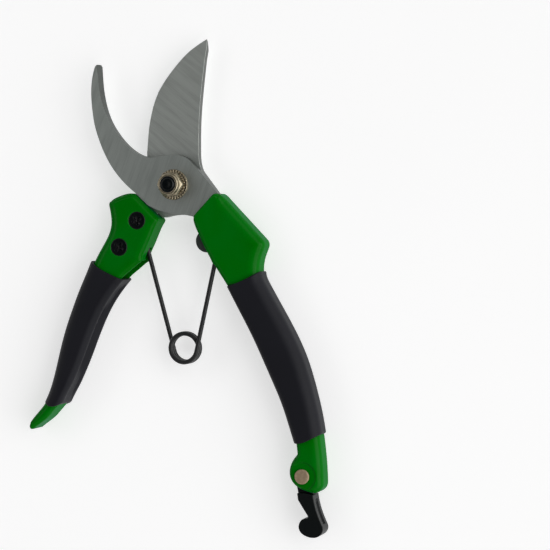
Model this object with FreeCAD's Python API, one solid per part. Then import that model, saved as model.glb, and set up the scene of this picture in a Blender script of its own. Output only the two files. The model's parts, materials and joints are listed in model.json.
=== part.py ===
import FreeCAD, Part
import math, os

os.makedirs("parts", exist_ok=True)

# ---------------------------------------------------------------------------
# Bypass pruner, lying on its back on a flat surface.  Millimetres.
# Origin: the pivot axis where it meets that surface.  +Z is the pivot axis,
# pointing at the nut.  +Y runs from the pivot towards the blade tips.
# Drawn fully open, the way its spring holds it.
# ---------------------------------------------------------------------------

# ---- driving dimensions ----------------------------------------------------
Z_MEET = 7.5            # plane where the two blades slide on each other
T_COUNTER = 3.5         # counter blade (hook) thickness
T_CUTTER = 3.2          # cutting blade thickness
RUN_GAP = 0.04          # gap between the blades' sliding faces
Z_COUNTER_TOP = Z_MEET + T_COUNTER
Z_CUTTER_TOP = Z_MEET - RUN_GAP
Z_CUTTER_BOT = Z_CUTTER_TOP - T_CUTTER
CAST_Z0, CAST_Z1 = 1.5, 13.5      # handle castings
GRIP_Z0, GRIP_Z1 = 0.0, 15.0      # sleeves
SLEEVE_T = 1.3                    # sleeve wall along the handle's edges
WALL = 2.15                       # casting wall beside the channel
BOLT_R = 4.0                      # shoulder of the pivot bolt
BOLT_THREAD_R = 3.0
BLADE_BORE_R = 4.05
BOLT_HEAD_AF, BOLT_HEAD_H = 13.0, 2.6
NUT_AF = 10.0
NUT_Z0, NUT_HEX_H, NUT_H = 12.2, 4.1, 6.0
BOLT_END_Z = 18.6
WASHER_R, WASHER_TEETH = 6.5, 28
SCREW_R, SCREW_HEAD_R, SCREW_CONE = 2.0, 4.0, 2.2
LEFT_SCREWS = [(-16.0, -15.2), (-24.2, -26.6)]
RIGHT_SCREWS = [(20.2, -13.4), (29.6, -25.0)]
BUMPER_C, BUMPER_R = (14.7, -23.9), 4.9
LATCH_PIN = (57.8, -121.9)
RIVET_R, RIVET_HEAD_R = 2.0, 3.15
LATCH_BORE_R = 2.06
END_SLOT_Z0, END_SLOT_Z1 = 5.4, 9.6
LOBE_R, LOBE_STEP = 6.0, 0.6
RIM_R = 2.4                       # soft edges of the castings on the palm side
WIRE_R = 0.95
COIL_C, COIL_R = (4.0, -69.5), 6.1
ANCHOR_L = (-15.5, -22.5)
ANCHOR_R = (19.8, -31.0)
LEG_L_Z, LEG_R_Z = 5.22, 10.02


# ---- helpers ---------------------------------------------------------------
def V(x, y, z=0.0):
    return FreeCAD.Vector(x, y, z)


def spline(pts):
    c = Part.BSplineCurve()
    c.interpolate([V(*p) for p in pts])
    return c.toShape()


def outline(path):
    """Closed face from ('s', points) splines and ('l', points) polylines
    that meet end to end."""
    edges = []
    for kind, pts in path:
        if kind == "s" and len(pts) > 2:
            edges.append(spline(pts))
        else:
            for a, b in zip(pts, pts[1:]):
                edges.append(Part.LineSegment(V(*a), V(*b)).toShape())
    return Part.Face(Part.Wire(edges))


def prism(path, z0, z1):
    f = outline(path)
    f.translate(V(0, 0, z0))
    return f.extrude(V(0, 0, z1 - z0))


def poly(pts, z0, z1):
    return prism([("l", list(pts) + [pts[0]])], z0, z1)


def cyl(c, r, z0, z1):
    return Part.makeCylinder(r, z1 - z0, V(c[0], c[1], z0))


def cone(c, r0, r1, z0, z1):
    return Part.makeCone(r0, r1, z1 - z0, V(c[0], c[1], z0))


def is_vertical(e):
    vs = e.Vertexes
    if len(vs) != 2:
        return False
    a, b = vs[0].Point, vs[1].Point
    return abs(a.x - b.x) < 1e-4 and abs(a.y - b.y) < 1e-4 and abs(a.z - b.z) > 0.2


def vround(shape, spots):
    """Round the upright edges nearest to each (x, y, r)."""
    by_r = {}
    for x, y, r in spots:
        best, bd = None, 1e9
        for e in shape.Edges:
            if is_vertical(e):
                p = e.Vertexes[0].Point
                d = math.hypot(p.x - x, p.y - y)
                if d < bd:
                    best, bd = e, d
        if best is not None and bd < 1.5:
            by_r.setdefault(r, []).append(best)
    out = shape
    for r, es in by_r.items():
        pts = [e.Vertexes[0].Point for e in es]
        live = []
        for p in pts:
            for e in out.Edges:
                if is_vertical(e):
                    q = e.Vertexes[0].Point
                    if math.hypot(p.x - q.x, p.y - q.y) < 1e-3:
                        live.append(e)
                        break
        try:
            out = out.makeFillet(r, live)
        except Exception as err:
            print("upright round skipped", r, err)
    return out


def rim(shape, z, r, keep=lambda p: True):
    """Round the edges that lie in the plane z and pass keep(midpoint)."""
    es = []
    for e in shape.Edges:
        bb = e.BoundBox
        if abs(bb.ZMin - z) < 1e-4 and abs(bb.ZMax - z) < 1e-4:
            u0, u1 = e.ParameterRange
            p = e.valueAt(0.5 * (u0 + u1))
            if keep(p):
                es.append(e)
    if not es:
        return shape
    try:
        s = shape.makeFillet(r, es)
        if s.isValid():
            return s
        print("rim round invalid", z, r)
    except Exception as err:
        print("rim round skipped", z, r, err)
    return shape


def one(shape):
    s = shape.removeSplitter() if shape.ShapeType != "Solid" else shape
    sol = s.Solids
    if len(sol) > 1:
        sol = sorted(sol, key=lambda k: -k.Volume)
        small = [k.Volume for k in sol[1:]]
        print("  several solids, kept the largest:", [round(k, 3) for k in small])
    return sol[0]


NODES = {}


def save(name, shape, several=False):
    if not several:
        shape = one(shape)
    else:
        shape = Part.makeCompound(shape.Solids)
    if not shape.isValid():
        shape.fix(1e-4, 1e-4, 1e-3)
    NODES[name] = shape
    shape.exportStep("parts/%s.step" % name)
    print("%-20s vol %9.2f valid %s solids %d" % (name, shape.Volume, shape.isValid(), len(shape.Solids)))


# ---- counter blade: the fixed hook -----------------------------------------
HOOK_OUT = [(-34.55, 51.8), (-35.3, 51.65), (-36.0, 51.0), (-36.45, 49.9), (-37.3, 46.4),
            (-37.8, 42.5), (-37.8, 37.3), (-37.3, 32.0), (-36.4, 26.4), (-34.7, 20.7), (-32.2, 14.6),
            (-28.9, 8.6), (-24.3, 2.7), (-17.9, -3.1)]
HOOK_IN = [(-13.7, 12.3), (-16.2, 13.3), (-18.8, 14.9), (-21.4, 17.0), (-24.1, 19.8), (-26.3, 22.6),
           (-28.3, 25.6), (-29.9, 28.7), (-31.3, 32.4), (-32.5, 37.0), (-33.3, 41.8), (-33.7, 46.3),
           (-34.0, 50.9)]
hook_top = [(9.0, 8.6), (6.6, 10.8), (4.3, 12.0), (1.6, 12.6), (-1.6, 12.6), (-4.8, 12.15), (-7.6, 11.75),
            (-10.2, 11.6), (-13.7, 12.3)]
hook_bottom = [(-12.0, -8.5), (-8.6, -10.2), (-4.8, -11.4), (-1.1, -12.1), (2.5, -12.6), (5.7, -12.95), (8.9, -13.6)]
counter = prism([
    ("s", HOOK_OUT),
    ("l", [(-17.9, -3.1), (-12.0, -8.5)]),
    ("s", hook_bottom),
    ("l", [(8.9, -13.6), (10.4, -15.2), (15.6, -17.6)]),
    ("l", [(15.6, -17.6), (19.6, -21.6), (24.5, -30.4), (29.0, -32.4), (33.4, -29.4), (35.9, -23.4), (20.3, -7.35)]),
    ("l", [(20.3, -7.35), (20.3, -4.2), (9.0, 8.6)]),
    ("s", hook_top),
    ("s", HOOK_IN),
    ("l", [(-34.0, 50.9), (-34.55, 51.8)]),
], Z_MEET, Z_COUNTER_TOP)
counter = vround(counter, [(24.5, -30.4, 1.5), (29.0, -32.4, 2.0), (33.4, -29.4, 2.0), (35.9, -23.4, 1.5),
                           (15.6, -17.6, 1.0), (19.6, -21.6, 2.0)])

# the inside of the hook is ground back at the front face, so that the edge is
# where the blades meet; the ground strip fades out towards the pivot
BEVEL = [(-11.6, 11.7), (-14.4, 12.9), (-16.9, 14.35), (-19.5, 16.0), (-22.2, 18.3), (-24.9, 21.2), (-27.2, 24.1),
         (-29.3, 27.3), (-30.9, 30.4), (-32.3, 34.0), (-33.6, 38.4), (-34.35, 42.9), (-34.75, 47.3), (-35.0, 52.2)]


def ruled_bevel(low, high, z0, z1, push):
    """Cutter for a ground face: low is its line at height z0 and high its line
    at height z1, point for point; push is how far the cutter reaches off the
    blade, to the left of the line's direction when positive."""
    n = len(low)
    wires = []
    for i in range(n):
        a = V(low[i][0], low[i][1], z0)
        b = V(high[i][0], high[i][1], z1)
        j, k = max(0, i - 1), min(n - 1, i + 1)
        t = V(low[k][0] - low[j][0], low[k][1] - low[j][1], 0)
        t.normalize()
        off = V(-t.y * push, t.x * push, 0)
        d = b.sub(a)
        a = a.sub(V(d.x * 0.12, d.y * 0.12, d.z * 0.12))
        b = b.add(V(d.x * 0.12, d.y * 0.12, d.z * 0.12))
        wires.append(Part.makePolygon([a, b, b.add(off), a.add(off), a]))
    sol = Part.makeLoft(wires, True, False)
    if sol.Volume < 0:
        sol.reverse()
    return sol


HOOK_IN_B = [(-12.3, 11.6)] + HOOK_IN[0:12] + [(-34.1, 52.2)]
try:
    cutter_tool = ruled_bevel(HOOK_IN_B, BEVEL, Z_MEET, Z_COUNTER_TOP, -3.0)
    c2 = counter.cut(cutter_tool)
    ok = c2.isValid() and len(c2.Solids) >= 1 and 0.85 * counter.Volume < c2.Solids[0].Volume < 0.9999 * counter.Volume
    print("hook bevel", ok, counter.Volume, c2.Volume, cutter_tool.Volume)
    if ok:
        counter = one(c2)
except Exception as err:
    print("hook bevel skipped", err)

counter = counter.cut(cyl((0, 0), BLADE_BORE_R, 5, 13))
for x, y in RIGHT_SCREWS:
    counter = counter.cut(cyl((x, y), SCREW_R + 0.1, 5, 13))
save("counter_blade", counter)

# ---- cutting blade ----------------------------------------------------------
EDGE = [(-13.4, 11.0), (-13.3, 15.0), (-13.0, 20.0), (-12.4, 25.5), (-11.3, 30.8), (-9.6, 36.3), (-7.0, 41.6),
        (-3.0, 47.3), (1.4, 52.4), (5.4, 56.2), (9.0, 58.8), (13.9, 61.6)]
SPINE = [(13.9, 61.6), (13.9, 59.5), (13.1, 54.5), (12.3, 48.5), (11.5, 41.5), (10.8, 34.5), (10.3, 27.5), (10.1, 20.5),
         (10.1, 14.5), (10.4, 9.5), (11.6, 5.6)]
cutter = prism([
    ("s", EDGE),
    ("s", SPINE),
    ("l", [(11.6, 5.6), (18.35, -3.1), (17.9, -4.15), (13.3, -9.05)]),
    ("s", [(13.3, -9.05), (10.6, -11.2), (7.0, -12.5), (2.8, -12.8), (-1.0, -13.1), (-4.6, -13.9)]),
    ("l", [(-4.6, -13.9), (-6.5, -13.95), (-8.5, -12.1), (-9.6, -14.4), (-11.4, -17.2), (-15.6, -18.2), (-18.6, -21.8), (-20.6, -28.6),
           (-25.4, -31.0), (-28.6, -28.6), (-28.4, -25.6), (-26.2, -20.6), (-25.6, -16.0), (-26.0, -10.6),
           (-24.6, -8.1), (-18.6, -5.2)]),
    ("s", [(-18.6, -5.2), (-16.2, 0.5), (-14.3, 6.0), (-13.4, 11.0)]),
], Z_CUTTER_BOT, Z_CUTTER_TOP)
cutter = vround(cutter, [(18.35, -3.1, 0.5), (-20.6, -28.6, 1.5), (-25.4, -31.0, 1.8), (-28.6, -28.6, 1.5),
                         (-15.6, -18.2, 1.5), (-18.6, -5.2, 2.0), (11.6, 5.6, 6.0), (-11.4, -17.2, 1.0)])
# long flat grind from the back face to the edge at the sliding face
GR_LOW = [(-15.5, 8.0), (-13.4, 12.5), (-11.0, 17.0), (-9.4, 22.0), (-8.3, 27.0), (-7.0, 31.8), (-5.2, 36.2), (-2.6, 40.8), (0.8, 45.6),
          (4.8, 50.0), (8.4, 53.2), (12.2, 56.0), (16.5, 58.8)]
GR_HIGH = [(-17.5, 7.5), (-13.35, 13.0), (-13.05, 18.0), (-12.55, 23.5), (-11.6, 28.8), (-10.1, 34.0), (-7.8, 39.2), (-4.4, 45.0), (-0.3, 50.3),
           (3.9, 54.8), (7.3, 57.6), (10.8, 59.75), (15.6, 62.6)]
try:
    tool = ruled_bevel(GR_HIGH, GR_LOW, Z_CUTTER_TOP - 0.35, Z_CUTTER_BOT, 9.0)
    c2 = cutter.cut(tool)
    ok = c2.isValid() and len(c2.Solids) >= 1 and 0.8 * cutter.Volume < max(k.Volume for k in c2.Solids) < 0.9999 * cutter.Volume
    print("blade grind", ok, cutter.Volume, c2.Volume, tool.Volume)
    if ok:
        cutter = one(c2)
except Exception as err:
    print("blade grind skipped", err)
cutter = cutter.cut(cyl((0, 0), BLADE_BORE_R, 2, 9))
for x, y in LEFT_SCREWS:
    cutter = cutter.cut(cyl((x, y), SCREW_R + 0.1, 2, 9))
save("cutting_blade", cutter)

# ---- left handle casting ------------------------------------------------------
L_OUT_HEAD = [(-17.3, -4.0), (-19.5, -3.6), (-22.3, -4.0), (-25.4, -5.05), (-28.0, -6.4), (-29.5, -8.2)]
L_OUT_NECK = [(-29.5, -8.2), (-29.1, -11.2), (-28.6, -14.6), (-28.8, -18.2), (-30.3, -22.3), (-33.4, -27.6),
              (-36.2, -32.6), (-39.6, -39.3), (-43.0, -46.6), (-45.9, -54.0), (-48.6, -62.0), (-51.8, -73.3),
              (-54.8, -84.6), (-56.6, -89.6), (-58.4, -93.3)]
L_TIP_OUT = [(-59.5, -94.4), (-62.6, -98.4), (-65.0, -101.1), (-66.5, -103.1)]
L_IN_GRIP = [(-51.6, -93.6), (-48.9, -88.0), (-45.7, -82.0), (-43.1, -76.0), (-39.8, -67.8), (-36.3, -59.6),
             (-32.8, -52.4), (-28.3, -45.6), (-24.0, -40.4)]
L_IN_HEAD = [(-14.15, -30.92), (-13.1, -28.58), (-11.48, -25.24), (-9.82, -21.46), (-8.17, -17.88), (-6.63, -15.3)]


def left_plan(z0, z1):
    return prism([
        ("s", L_OUT_HEAD),
        ("s", L_OUT_NECK),
        ("l", [(-58.4, -93.3), (-59.5, -94.4)]),
        ("s", L_TIP_OUT),
        ("l", [(-66.5, -103.1), (-66.9, -104.9), (-66.4, -106.2), (-65.2, -106.2)]),
        ("s", [(-65.2, -106.2), (-61.9, -103.7), (-58.6, -101.2), (-56.0, -98.4), (-53.4, -95.6)]),
        ("l", [(-53.4, -95.6), (-51.6, -93.6)]),
        ("s", L_IN_GRIP),
        ("l", [(-24.0, -40.4), (-21.2, -38.0), (-18.0, -35.5), (-15.9, -33.75), (-14.3, -32.75), (-14.15, -30.92)]),
        ("s", L_IN_HEAD),
        ("l", [(-6.63, -15.3), (-6.8, -14.25), (-17.3, -4.0)]),
    ], z0, z1)


left_full = left_plan(CAST_Z0, CAST_Z1)
left_full = vround(left_full, [(-66.9, -104.9, 0.9), (-66.4, -106.2, 0.8), (-65.2, -106.2, 0.8), (-29.5, -8.2, 1.6),
                               (-14.3, -32.75, 1.2), (-17.3, -4.0, 0.8), (-6.63, -15.3, 1.2), (-66.5, -103.1, 2.0)])


def left_palm(p):
    # edges on the palm side, from the head's top corner to the tip
    return (p.x < -29.0 and p.y > -33 and p.y < -9) or (p.y <= -33 and p.x < -36 + 0.40 * (p.y + 33) and p.y > -101)


left_body = rim(left_full, CAST_Z1, 2.6, lambda p: p.x < -28.0 + 0.0 * p.y and p.y < -9 and p.y > -94.0 and p.x < -36 + 0.33 * (p.y + 33))
left_body = rim(left_body, CAST_Z0, 2.6, lambda p: p.x < -28.0 + 0.0 * p.y and p.y < -9 and p.y > -94.0 and p.x < -36 + 0.33 * (p.y + 33))

# slot for the cutting blade's tang and the spring's leg; a wall closes it on
# the finger side down to where the leg comes in
left_slot = poly([(-21.0, -1.0), (-25.4, -6.9), (-26.9, -9.6), (-26.5, -16.0), (-27.3, -20.8), (-31.8, -29.6),
                  (-35.2, -36.5), (-26, -44.0), (-8, -37), (-6, -30.0), (-12.0, -27.3), (-13.2, -26.0), (-12.9, -24.4),
                  (-11.4, -20.9), (-9.8, -17.4), (-8.9, -15.2), (-8.0, -12.0), (2, -4), (-8, 2)], Z_CUTTER_BOT - 0.04, Z_MEET)
# open channel along the grip
L_CH_OUT = [(-31.6, -31.8), (-34.0, -36.6), (-37.2, -43.6), (-40.6, -51.0), (-43.6, -58.6), (-46.0, -66.0),
            (-49.0, -77.0), (-51.6, -86.0), (-53.3, -90.2)]
left_channel = prism([
    ("s", L_CH_OUT),
    ("l", [(-53.3, -90.2), (-44.0, -93.0), (-30.0, -60.0), (-8.0, -38.0), (-9.0, -34.0), (-17.5, -31.6), (-31.6, -31.8)]),
], CAST_Z0 + WALL, CAST_Z1 - WALL)
left_cast = left_body.cut(left_slot).cut(left_channel)
for x, y in LEFT_SCREWS:
    left_cast = left_cast.cut(cyl((x, y), SCREW_R + 0.05, 0.5, 14.5))
    left_cast = left_cast.cut(cone((x, y), SCREW_R + 0.05, SCREW_HEAD_R + 0.05, CAST_Z1 - SCREW_CONE, CAST_Z1))
save("handle_left", left_cast)

# ---- right handle casting -------------------------------------------------------
R_IN_HEAD = [(9.53, -15.06), (10.06, -17.25), (11.82, -21.13), (13.57, -24.9), (15.4, -28.33), (17.0, -31.25)]
R_CUTAWAY = [(17.85, -33.0), (19.2, -34.5), (20.6, -36.6), (22.6, -39.5), (24.6, -42.6)]
R_IN_GRIP = [(25.9, -42.9), (30.6, -51.6), (35.9, -61.4), (39.5, -68.6), (42.6, -75.2), (46.3, -83.2), (49.4, -90.3),
             (52.0, -97.6), (54.4, -104.6)]
R_OUT_GRIP = [(64.0, -103.2), (63.6, -99.0), (61.8, -91.0), (59.4, -82.2), (56.9, -74.4), (53.9, -67.4), (50.3, -60.4),
              (46.2, -53.2), (42.8, -47.4), (40.0, -42.4), (38.6, -39.0), (38.2, -35.4), (38.7, -31.8), (39.9, -28.2)]
LOBE = [(55.6, -112.6), (54.1, -114.3), (52.7, -116.7), (51.95, -119.4), (52.05, -122.0), (53.0, -124.2), (54.8, -126.1),
        (57.2, -127.4), (59.6, -128.2), (61.8, -128.7)]


def right_plan(z0, z1):
    return prism([
        ("l", [(18.6, -3.9), (9.65, -13.35), (9.53, -15.06)]),
        ("s", R_IN_HEAD),
        ("l", [(17.0, -31.25), (17.85, -33.0)]),
        ("s", R_CUTAWAY),
        ("l", [(24.6, -42.6), (25.9, -42.9)]),
        ("s", R_IN_GRIP),
        ("l", [(54.4, -104.6), (55.0, -107.6), (55.5, -111.6), (55.6, -112.6)]),
        ("s", LOBE),
        ("l", [(61.8, -128.7), (66.45, -129.1)]),
        ("s", [(66.45, -129.1), (66.5, -125.0), (66.35, -120.0), (66.0, -115.0), (65.3, -108.6), (64.8, -104.9)]),
        ("l", [(64.8, -104.9), (64.0, -103.2)]),
        ("s", R_OUT_GRIP),
        ("l", [(39.9, -28.2), (41.3, -24.7), (22.3, -5.1), (20.6, -3.9), (18.6, -3.9)]),
    ], z0, z1)


right_full = right_plan(CAST_Z0, CAST_Z1)
right_full = vround(right_full, [(9.65, -13.35, 1.6), (41.3, -24.7, 3.2), (66.45, -129.1, 3.9), (22.3, -5.1, 3.0),
                                 (18.6, -3.9, 1.0), (17.0, -31.25, 1.5), (17.85, -33.0, 1.0), (61.8, -128.7, 1.5),
                                 (64.8, -104.9, 3.0), (64.0, -103.2, 3.0), (39.9, -28.2, 3.0)])


def right_palm(p):
    # edges on the palm side, from the head's outer corner down to the end
    return (p.x > 37.0 and -129.5 < p.y < -26.0 and p.x > 37.5 - 0.36 * (p.y + 26))


right_body = rim(right_full, CAST_Z1, RIM_R, right_palm)
right_body = rim(right_body, CAST_Z0, RIM_R, right_palm)
# the lobe that carries the latch rivet is let in a little
right_body = right_body.cut(cyl(LATCH_PIN, LOBE_R, CAST_Z1 - LOBE_STEP, CAST_Z1 + 1))

right_slot = poly([(14.0, 2.0), (20.9, -2.6), (20.9, -7.6), (37.6, -25.0), (36.6, -28.6), (35.6, -33.0), (35.8, -38.0),
                   (24.0, -46.0), (14.0, -42.0), (4.0, -24.0), (2.0, -8.0)], Z_MEET, Z_COUNTER_TOP + 0.03)
R_CH_OUT = [(35.6, -35.0), (36.0, -39.6), (37.6, -43.6), (40.4, -48.6), (43.8, -54.6), (47.9, -61.8), (51.4, -68.8), (54.4, -75.8),
            (56.9, -83.0), (59.3, -91.6), (61.0, -99.0)]
right_channel = prism([
    ("s", R_CH_OUT),
    ("l", [(61.0, -99.0), (50.0, -102.5), (30.0, -62.0), (12.0, -36.0), (18.0, -33.0), (35.6, -35.0)]),
], CAST_Z0 + WALL, CAST_Z1 - WALL)
end_slot = poly([(62.3, -113.2), (62.3, -134.0), (46.0, -134.0), (46.0, -113.2)], END_SLOT_Z0, END_SLOT_Z1)
right_cast = right_body.cut(right_slot).cut(right_channel).cut(end_slot)
right_cast = right_cast.cut(cyl(BUMPER_C, BUMPER_R, 3.5, Z_COUNTER_TOP))
for x, y in RIGHT_SCREWS:
    right_cast = right_cast.cut(cyl((x, y), SCREW_R + 0.05, 0.5, 12.6))
    right_cast = right_cast.cut(cone((x, y), SCREW_HEAD_R + 0.05, SCREW_R + 0.05, CAST_Z0, CAST_Z0 + SCREW_CONE))
right_cast = right_cast.cut(cyl(LATCH_PIN, RIVET_R, 0, 15))
save("handle_right", right_cast)

# ---- sleeves --------------------------------------------------------------------
GL_OUT = [(-37.9, -32.4), (-40.6, -38.6), (-43.6, -45.2), (-46.8, -53.2), (-49.8, -61.4), (-53.1, -73.0), (-56.1, -84.4),
          (-57.8, -89.3), (-60.1, -94.2)]
GL_IN = [(-51.3, -94.5), (-49.6, -91.2), (-47.2, -87.0), (-44.5, -81.6), (-42.0, -76.0), (-38.6, -67.6), (-35.2, -59.6),
         (-31.5, -52.4), (-27.0, -45.8), (-22.6, -40.6)]
grip_l = prism([
    ("s", GL_OUT),
    ("s", [(-60.1, -94.2), (-57.4, -95.5), (-54.5, -95.8), (-51.3, -94.5)]),
    ("s", GL_IN),
    ("s", [(-22.6, -40.6), (-27.8, -38.3), (-33.2, -35.6), (-37.9, -32.4)]),
], GRIP_Z0, GRIP_Z1)


def near_line(pts, tol):
    def f(p):
        for (ax, ay), (bx, by) in zip(pts, pts[1:]):
            t = ((p.x - ax) * (bx - ax) + (p.y - ay) * (by - ay)) / ((bx - ax) ** 2 + (by - ay) ** 2)
            t = min(1, max(0, t))
            if math.hypot(p.x - ax - t * (bx - ax), p.y - ay - t * (by - ay)) < tol:
                return True
        return False
    return f


grip_l = rim(grip_l, GRIP_Z1, 4.6, near_line(GL_OUT, 0.3))
grip_l = rim(grip_l, GRIP_Z0, 4.6, near_line(GL_OUT, 0.3))
GL_SAG = [(x - 1.05, y + 0.55) for x, y in GL_IN]
GL_SAG2 = [(x - 2.2, y + 1.15) for x, y in GL_IN]
sag_l = prism([("s", GL_SAG), ("l", [GL_SAG[-1], (-14.0, -44.0), (-46.0, -104.0), GL_SAG[0]])], 4.6, 10.4)
core_sag_l = prism([("s", GL_SAG2), ("l", [GL_SAG2[-1], (-14.0, -44.0), (-46.0, -104.0), GL_SAG2[0]])],
                   CAST_Z0 + WALL + 0.02, CAST_Z1 - WALL - 0.02)
# only over the open channel
chan_l_only = left_channel
grip_l = grip_l.cut(sag_l.common(left_channel.makeOffsetShape(0, 1e-4) if False else sag_l))
grip_l = grip_l.cut(left_body.cut(core_sag_l.common(left_channel)))
save("grip_left", grip_l)

GR_IN = [(24.4, -42.9), (29.6, -52.4), (34.8, -62.0), (38.4, -69.2), (41.5, -75.8), (45.2, -83.8), (48.3, -90.9),
         (51.0, -98.4), (54.2, -108.3)]
GR_OUT = [(65.7, -104.0), (64.9, -99.2), (63.1, -90.9), (60.7, -82.0), (58.1, -74.0), (55.1, -66.9), (51.5, -59.9),
          (47.4, -52.7), (44.0, -46.9), (41.2, -42.0), (39.6, -38.6), (39.2, -36.4)]
grip_r = prism([
    ("s", GR_IN),
    ("s", [(54.2, -108.3), (58.2, -107.7), (62.2, -105.9), (65.7, -104.0)]),
    ("s", GR_OUT),
    ("s", [(39.2, -36.4), (34.4, -39.2), (29.6, -41.3), (24.4, -42.9)]),
], GRIP_Z0, GRIP_Z1)
grip_r = rim(grip_r, GRIP_Z1, 4.6, near_line(GR_OUT, 0.3))
grip_r = rim(grip_r, GRIP_Z0, 4.6, near_line(GR_OUT, 0.3))
GR_SAG = [(x + 1.05, y + 0.55) for x, y in GR_IN]
GR_SAG2 = [(x + 2.2, y + 1.15) for x, y in GR_IN]
sag_r = prism([("s", GR_SAG), ("l", [GR_SAG[-1], (46.0, -112.0), (14.0, -46.0), GR_SAG[0]])], 4.6, 10.4)
core_sag_r = prism([("s", GR_SAG2), ("l", [GR_SAG2[-1], (46.0, -112.0), (14.0, -46.0), GR_SAG2[0]])],
                   CAST_Z0 + WALL + 0.02, CAST_Z1 - WALL - 0.02)
grip_r = grip_r.cut(sag_r)
grip_r = grip_r.cut(right_body.cut(core_sag_r.common(right_channel)))
save("grip_right", grip_r)

# ---- pivot hardware ----------------------------------------------------------------
def hexa(af, z0, z1, turn=0.0):
    r = af / 2 / math.cos(math.pi / 6)
    pts = [(r * math.cos(math.radians(60 * i + turn)), r * math.sin(math.radians(60 * i + turn))) for i in range(6)]
    return poly(pts, z0, z1)


head = hexa(BOLT_HEAD_AF, 0, BOLT_HEAD_H, 30).common(
    cone((0, 0), BOLT_HEAD_AF / 2 + 0.15, BOLT_HEAD_AF / 2 + 2.6, 0, BOLT_HEAD_H))
bolt = head.fuse(cyl((0, 0), BOLT_R, BOLT_HEAD_H, Z_COUNTER_TOP - 0.05))
bolt = bolt.fuse(cyl((0, 0), BOLT_THREAD_R, Z_COUNTER_TOP - 0.05, BOLT_END_Z - 0.5))
bolt = bolt.fuse(cone((0, 0), BOLT_THREAD_R, BOLT_THREAD_R - 0.5, BOLT_END_Z - 0.5, BOLT_END_Z))
save("pivot_bolt", bolt.removeSplitter())

save("back_washer", cyl((0, 0), 8.0, BOLT_HEAD_H, Z_CUTTER_BOT - 0.02).cut(cyl((0, 0), BOLT_R + 0.05, 1, 6)))

washer = cyl((0, 0), WASHER_R, Z_COUNTER_TOP, NUT_Z0)
tooth = None
for i in range(WASHER_TEETH):
    a = 360.0 / WASHER_TEETH * i
    b = Part.makeBox(2.4, 0.55, 1.0, V(4.75, -0.275, NUT_Z0 - 0.45))
    b.rotate(V(0, 0, 0), V(0, 0, 1), a)
    tooth = b if tooth is None else tooth.fuse(b)
washer = washer.cut(tooth).cut(cyl((0, 0), BOLT_THREAD_R + 0.05, 10, 13))
save("lock_washer", washer)

nut = hexa(NUT_AF, NUT_Z0, NUT_Z0 + NUT_HEX_H, 30).common(
    cone((0, 0), NUT_AF / 2 + 3.1, NUT_AF / 2 - 0.15, NUT_Z0 + NUT_HEX_H - 3.25, NUT_Z0 + NUT_HEX_H).fuse(
        cyl((0, 0), NUT_AF / 2 + 3.1, NUT_Z0, NUT_Z0 + NUT_HEX_H - 3.25)))
collar = cyl((0, 0), 4.65, NUT_Z0 + NUT_HEX_H - 0.5, NUT_Z0 + NUT_H)
collar = rim(collar, NUT_Z0 + NUT_H, 0.75)
nut = nut.fuse(collar)
nut = nut.cut(cyl((0, 0), BOLT_THREAD_R + 0.02, 11, 20)).cut(cyl((0, 0), 3.75, NUT_Z0 + NUT_HEX_H + 0.1, 20))
save("pivot_nut", nut.removeSplitter())
ins = cyl((0, 0), 3.73, NUT_Z0 + NUT_HEX_H + 0.12, NUT_Z0 + NUT_H - 0.1).cut(cyl((0, 0), BOLT_THREAD_R + 0.01, 11, 20))
save("nut_nylon_insert", ins)


# ---- countersunk cross-recess screws ------------------------------------------------
def screw(c, z_top, z_tip):
    up = 1 if z_top > z_tip else -1
    h = SCREW_CONE - 0.05
    if up > 0:
        s = cone(c, SCREW_R, SCREW_HEAD_R - 0.02, z_top - h, z_top).fuse(cyl(c, SCREW_R, z_tip, z_top - h))
    else:
        s = cone(c, SCREW_HEAD_R - 0.02, SCREW_R, z_top, z_top + h).fuse(cyl(c, SCREW_R, z_top + h, z_tip))
    for a in (25, 115):
        b = Part.makeBox(4.4, 0.9, 1.5, V(c[0] - 2.2, c[1] - 0.45, (z_top - 1.4) if up > 0 else (z_top - 0.1)))
        b.rotate(V(c[0], c[1], 0), V(0, 0, 1), a)
        s = s.cut(b)
    return s.removeSplitter()


save("blade_screw_left_upper", screw(LEFT_SCREWS[0], CAST_Z1 - 0.05, 1.7))
save("blade_screw_left_lower", screw(LEFT_SCREWS[1], CAST_Z1 - 0.05, 1.7))
save("blade_screw_right_upper", screw(RIGHT_SCREWS[0], CAST_Z0 + 0.05, 12.4))
save("blade_screw_right_lower", screw(RIGHT_SCREWS[1], CAST_Z0 + 0.05, 12.4))

# ---- rubber bumper --------------------------------------------------------------------
save("bumper", cyl(BUMPER_C, BUMPER_R - 0.02, 3.52, Z_COUNTER_TOP - 0.02))

# ---- torsion spring --------------------------------------------------------------------
def tangent(c, r, p, side):
    """Tangent point on the circle for a straight leg from p; side is +1 or -1."""
    d = math.hypot(p[0] - c[0], p[1] - c[1])
    a = math.atan2(p[1] - c[1], p[0] - c[0])
    b = math.acos(r / d)
    return (c[0] + r * math.cos(a + side * b), c[1] + r * math.sin(a + side * b)), math.degrees(a + side * b)


def rod(a, b, r=WIRE_R):
    d = b.sub(a)
    return Part.makeCylinder(r, d.Length, a, d)


TL, aL = tangent(COIL_C, COIL_R, ANCHOR_L, +1)
RX = (18.55, -32.2)       # where the right leg bends towards its anchor
TR, aR = tangent(COIL_C, COIL_R, RX, -1)
leg_l = rod(V(TL[0], TL[1], LEG_L_Z), V(ANCHOR_L[0], ANCHOR_L[1], LEG_L_Z))
leg_r = rod(V(TR[0], TR[1], LEG_R_Z), V(RX[0], RX[1], LEG_R_Z))
leg_r = leg_r.fuse(Part.makeSphere(WIRE_R, V(RX[0], RX[1], LEG_R_Z))).fuse(
    rod(V(RX[0], RX[1], LEG_R_Z), V(ANCHOR_R[0], ANCHOR_R[1], LEG_R_Z)))
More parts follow.
